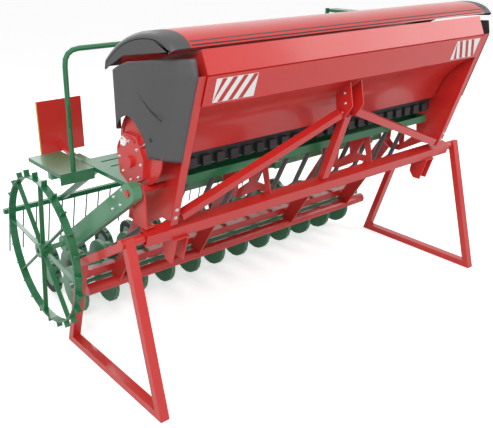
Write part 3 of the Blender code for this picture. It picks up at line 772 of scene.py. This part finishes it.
@dataclass
class Fastenings:
    """Bolts, sight glass, lever and quadrant on the left side, and bolts along the front."""

    quadrant_r: float = 0.215
    quadrant_half: float = 0.004
    # How far in from the quadrant's edge the painted shade of its slot runs.
    slot_shade_in: float = 0.03
    cover_in: float = 0.020
    cover_ring: float = 0.115
    hub_out: float = 0.031
    hub_ring: float = 0.034

    def build(self) -> None:
        """Place everything by the boxes of the pieces that carry it."""
        self.gearbox()
        self.quadrant()
        self.arm()
        self.front()

    def gearbox(self) -> None:
        """Cover screws, a round sight glass and a raised rib on the drive housing."""
        low, high = node_box("gearbox")
        face_x = low[0] + self.cover_in
        mid = (low + high) / 2
        turn = np.linspace(0, 2 * math.pi, 9)[:-1]
        places = np.stack([np.full(len(turn), face_x),
                           mid[1] + self.cover_ring * np.cos(turn),
                           mid[2] + self.cover_ring * np.sin(turn)], 1)
        bolt_heads("gearbox_bolts", places, (-1, 0, 0), Body.FRAME, 0.007)
        glass = np.array([(SEALED, 0.0), (0.030, 0.0), (0.030, 0.008), (0.022, 0.010),
                          (0.020, 0.004), (SEALED, 0.004)])
        at = np.array([[face_x, mid[1] + 0.055, mid[2] + 0.105]])
        turned_piece("sight_glass", glass, (-1, 0, 0), at, 24, WHITE, Body.FRAME)
        sweep = np.linspace(0.35, 2.1, 16)
        route = np.column_stack([np.full(16, face_x - 0.002), mid[1] + 0.135 * np.cos(sweep),
                                 mid[2] + 0.140 * np.sin(sweep)])
        tube("gearbox_rib", route, 0.006, RED, Body.FRAME)

    def quadrant(self) -> None:
        """Lever quadrant: a disc with a slot along part of its edge, the slot a black tube of painted
        shade, and the lever on it.
        """
        low, high = node_box("gearbox")
        centre = np.array([low[0] + 0.052, (low[1] + high[1]) / 2 - 0.075, low[2] + 0.240])
        half, edge, bore = self.quadrant_half, self.quadrant_r, 0.02
        profile = np.array([(bore, -half), (edge, -half), (edge, half), (bore, half)])
        turned_piece("lever_quadrant", profile, (1, 0, 0), centre[None], 40, RED, Body.FRAME)
        # The black tube along the quadrant's edge is painted shade in its slot.
        sweep = np.linspace(0.25, 2.4, 30)
        route = np.column_stack([np.full(30, centre[0] - 0.005),
                                 centre[1] + (edge - self.slot_shade_in) * np.cos(sweep),
                                 centre[2] + (edge - self.slot_shade_in) * np.sin(sweep)])
        tube("quadrant_slot_shade", route, 0.004, BLACK, Body.FRAME)
        start = centre + np.array([-0.012, 0, 0])
        tip = start + np.array([-0.004, -0.150, 0.085])
        route = start + (tip - start) * np.linspace(0, 1, 6)[:, None]
        tube("depth_lever", route, 0.008, STEEL, Body.FRAME)
        knob = np.array([(SEALED, -0.02), (0.014, -0.014), (0.020, 0.0), (0.014, 0.014),
                         (SEALED, 0.02)])
        turned_piece("lever_knob", knob, (1, 0, 0), tip[None], 20, BLACK, Body.FRAME)

    def arm(self) -> None:
        """Clamp bolts at the arm's upper end and the bolts round the wheel's hub."""
        low, high = node_box("wheel_arm")
        top = np.array([high[0] - 0.060, low[1] + 0.06, high[2] - 0.06])
        steps = np.array([(0.0, 0.07, 0.00), (0.0, 0.10, -0.10), (0.0, 0.17, -0.07),
                          (0.0, 0.19, -0.15)])
        bolt_heads("arm_bolts", top + steps + np.array([-0.001, 0, 0]), (-1, 0, 0), Body.ARM, 0.008)
        wheel_low, wheel_high = node_box("drive_wheel")
        hub = (wheel_low + wheel_high) / 2
        turn = np.linspace(0, 2 * np.pi, 6)[:-1]
        places = np.stack([np.full(len(turn), hub[0] - self.hub_out),
                           hub[1] + self.hub_ring * np.cos(turn),
                           hub[2] + self.hub_ring * np.sin(turn)], 1)
        bolt_heads("hub_bolts", places, (-1, 0, 0), Body.WHEEL, 0.006)

    def front(self) -> None:
        """Bolts low on both flanges and on both sides of the top link head."""
        normal = (0.0, -math.cos(LEAN), -math.sin(LEAN))
        for name in ("left", "right"):
            low, high = node_box("side_plate_" + name)
            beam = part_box("main_beam")[1][2]
            x = low[0] + 0.025 if name == "left" else high[0] - 0.025
            share = np.array([0.06, 0.12])
            z = beam + (high[2] - beam) * share
            y = low[1] + (high[2] - z) * math.tan(LEAN)
            bolt_heads("flange_bolts_" + name, np.stack([np.full(2, x), y, z], 1), normal,
                       Body.FRAME, 0.008)
        low, high = node_box("top_link_head")
        for side, x in ((-1, low[0]), (1, high[0])):
            places = np.array([[x, low[1] + 0.085, low[2] + 0.035],
                               [x, low[1] + 0.060, low[2] + 0.100],
                               [x, low[1] + 0.070, low[2] + 0.165]])
            bolt_heads("head_bolts_" + ("left" if side < 0 else "right"), places, (side, 0, 0),
                       Body.FRAME, 0.008)


@dataclass
class RearBoard:
    """Striped face and pale edge of the warning board, which looks rearwards."""

    edge: float = 0.006
    tall: float = 0.423
    bands: int = 4

    def build(self) -> None:
        """Make the edge strip and the level bands on the rear face."""
        low, high = node_box("warning_board")
        wide, tall = high[0] - low[0], self.tall
        centre = np.array([(low[0] + high[0]) / 2, high[1] - 0.0002, high[2] - tall / 2])
        strips = np.array([[low[0] + self.edge / 2, centre[1] - 0.004, centre[2]]])
        axes = np.array([[[self.edge / 2, 0, 0], [0, 0.0042, 0], [0, 0, tall / 2]]])
        points, faces = boxes(strips, axes)
        mesh_piece("board_edge", points, faces, YELLOW, Body.FRAME)
        count = self.bands
        z = low[2] + (high[2] - low[2]) - tall + tall * (np.arange(count) + 0.5) / count
        at = np.stack([np.full(count, centre[0]), np.full(count, centre[1]), z], 1)
        axes = np.repeat(np.array([[[wide * 0.48, 0, 0.0], [0, 0.0006, 0],
                                    [0, 0, tall / count * 0.22]]]), count, 0)
        points, faces = boxes(at, axes)
        mesh_piece("board_bands", points, faces, WHITE, Body.FRAME)


@dataclass
class Studio:
    """Floor, lamps, white surroundings and the camera."""

    sensor_wide: float = 36.0
    focal: float = 50.23
    place: tuple[float, float, float] = (-3.3138, -3.1000, 2.6374)
    pitch: float = 69.43
    yaw: float = -39.94
    shift: tuple[float, float] = (0.0024, -0.0364)
    floor_half: float = 30.0
    floor_z: float = -0.001
    floor_grey: float = 0.92
    floor_glow: float = 0.55
    lamp_aim: tuple[float, float, float] = (0.0, 0.0, 0.9)
    sky_light: float = 0.40

    def build(self) -> None:
        """Make everything that is not part of the machine."""
        beam_low, beam_high = node_box("main_beam")
        middle = (beam_low + beam_high) / 2
        moved = np.array([middle[0], middle[1] - BEAM_TO_ZERO, 0.0])
        data = bpy.data.cameras.new("camera")
        data.sensor_width, data.lens = self.sensor_wide, self.focal
        data.shift_x, data.shift_y = self.shift
        camera = bpy.data.objects.new("camera", data)
        camera.location = np.array(self.place) + moved
        camera.rotation_euler = (math.radians(self.pitch), 0, math.radians(self.yaw))
        bpy.context.scene.collection.objects.link(camera)
        bpy.context.scene.camera = camera
        self.floor()
        self.lamps()
        self.world()
        bpy.context.scene.view_settings.view_transform = "Standard"

    def floor(self) -> None:
        """A large pale floor that keeps a soft shadow."""
        mesh = bpy.data.meshes.new("floor")
        size, z = self.floor_half, self.floor_z
        mesh.from_pydata([(-size, -size, z), (size, -size, z), (size, size, z), (-size, size, z)],
                         [], [(0, 1, 2, 3)])
        material = bpy.data.materials.new("floor")
        material.use_nodes = True
        shader = material.node_tree.nodes["Principled BSDF"]
        shader.inputs["Base Color"].default_value = (*[self.floor_grey] * 3, 1)
        shader.inputs["Roughness"].default_value = 0.9
        shader.inputs["Emission Color"].default_value = (1, 1, 1, 1)
        path = material.node_tree.nodes.new("ShaderNodeLightPath")
        scaled = material.node_tree.nodes.new("ShaderNodeMath")
        scaled.operation = "MULTIPLY"
        scaled.inputs[1].default_value = self.floor_glow
        material.node_tree.links.new(path.outputs["Is Camera Ray"], scaled.inputs[0])
        material.node_tree.links.new(scaled.outputs[0], shader.inputs["Emission Strength"])
        mesh.materials.append(material)
        ground = bpy.data.objects.new("floor", mesh)
        bpy.context.scene.collection.objects.link(ground)

    def lamps(self) -> None:
        """Three large soft lamps."""
        table = (("key", (-5.5, -5.0, 6.5), 420, 4.0), ("fill", (5.5, -4.0, 4.0), 130, 4.0),
                 ("back", (0.0, 6.0, 5.0), 200, 4.0))
        for name, at, power, size in table:
            data = bpy.data.lights.new(name, "AREA")
            data.energy, data.size = power, size
            lamp = bpy.data.objects.new(name, data)
            lamp.location = at
            ray = Vector(self.lamp_aim) - Vector(at)
            lamp.rotation_euler = ray.to_track_quat("-Z", "Y").to_euler()
            bpy.context.scene.collection.objects.link(lamp)

    def world(self) -> None:
        """Soft light from all round, white to the camera and to mirrors."""
        world = bpy.data.worlds.new("studio")
        bpy.context.scene.world = world
        world.use_nodes = True
        nodes, links = world.node_tree.nodes, world.node_tree.links
        back = nodes["Background"]
        back.inputs["Color"].default_value = (1, 1, 1, 1)
        path = nodes.new("ShaderNodeLightPath")
        either = nodes.new("ShaderNodeMath")
        either.operation = "MAXIMUM"
        links.new(path.outputs["Is Camera Ray"], either.inputs[0])
        links.new(path.outputs["Is Glossy Ray"], either.inputs[1])
        level = nodes.new("ShaderNodeMapRange")
        level.inputs["To Min"].default_value = self.sky_light
        level.inputs["To Max"].default_value = 1.0
        links.new(either.outputs[0], level.inputs["Value"])
        links.new(level.outputs["Result"], back.inputs["Strength"])


def dress_nodes() -> None:
    """Give every carried-over solid its finish."""
    for name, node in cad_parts.items():
        look = NODE_LOOKS.get(name, RED)
        node.data.materials.clear()
        node.data.materials.append(look.material())
        LOG.info("%s wears %s", name, look.name)


def main() -> None:
    """Build the looks in order."""
    logging.basicConfig(level=logging.INFO)
    Studio().build()
    dress_nodes()
    Hopper().build()
    LeaningFront().build()
    Coulters().build()
    Fastenings().build()
    RearBoard().build()


if __name__ == "__main__":
    main()
